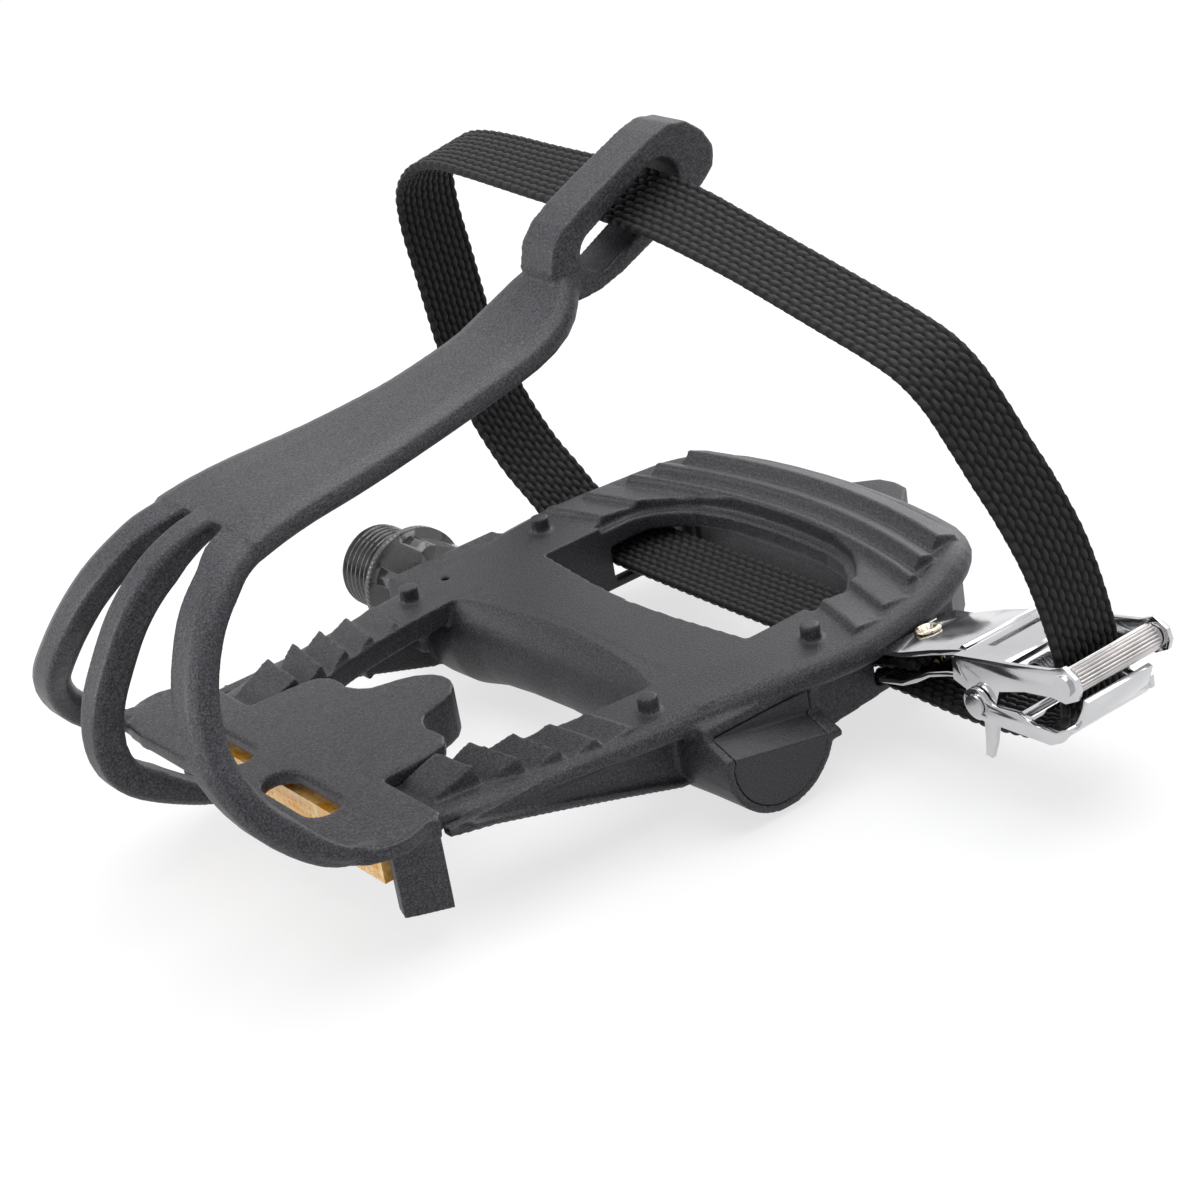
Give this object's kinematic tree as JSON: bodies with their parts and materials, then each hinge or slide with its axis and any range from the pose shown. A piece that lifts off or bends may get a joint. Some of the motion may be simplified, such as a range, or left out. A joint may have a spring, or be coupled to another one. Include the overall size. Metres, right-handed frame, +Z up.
{
  "type": "bicycle pedal",
  "caption": "Left bicycle pedal with a moulded cage platform, a toe clip with an adjustable webbing strap and quick release buckle, and amber reflectors.",
  "frame": {"origin": "on the spindle axis, in the face of the spindle collar that meets the crank arm", "axes": "+X towards the toe clip, +Y along the spindle away from the crank, +Z up out of the foot surface"},
  "size_m": [0.1477, 0.1445, 0.0891],
  "materials": {
    "black_steel": "gloss black oxide",
    "seal": "matte",
    "steel": "ground",
    "ball_steel": "polished",
    "body_plastic": "fine moulded grain",
    "cap_plastic": "satin",
    "clip_plastic": "fine moulded grain",
    "reflector": "clear amber prisms",
    "screw_steel": "zinc plated",
    "webbing": "woven",
    "chrome": "polished",
    "rivet": "flared",
    "roller_steel": "fluted"
  },
  "bodies": {
    "spindle": {"spindle": "black_steel", "outer_cone": "steel", "keyed_washer": "steel", "lock_nut": "steel"},
    "pedal": {"pedal_body": "body_plastic", "inner_seal": "seal", "inner_cup": "steel", "inner_balls": "ball_steel", "outer_cup": "steel", "outer_balls": "ball_steel", "end_cap": "cap_plastic", "toe_clip": "clip_plastic", "front_reflector": "reflector", "rear_reflector": "reflector", "clip_screws": "screw_steel", "clip_nuts": "screw_steel", "strap": "webbing", "buckle_frame": "chrome", "buckle_base": "chrome", "buckle_rivet": "rivet", "lever_pin": "chrome", "lever_spring": "screw_steel", "roller_pin": "chrome"},
    "clamp": {"clamp_lever": "chrome"},
    "roller": {"roller": "roller_steel"}
  },
  "joints": [
    {"name": "pedal_spin", "type": "hinge", "parent": "spindle", "child": "pedal", "pos_m": [0, 0.0503, 0], "axis": [0, 1, 0], "continuous": true},
    {"name": "clamp_hinge", "type": "hinge", "parent": "pedal", "child": "clamp", "pos_m": [-0.0298, 0.1133, 0.0043], "axis": [1, 0, 0], "range_deg": [-9, 0], "stiffness_Nm_per_rad": 0.02, "springref_deg": 20.05},
    {"name": "roller_spin", "type": "hinge", "parent": "pedal", "child": "roller", "pos_m": [-0.0298, 0.13, 0.0122], "axis": [1, 0, 0], "continuous": true}
  ]
}
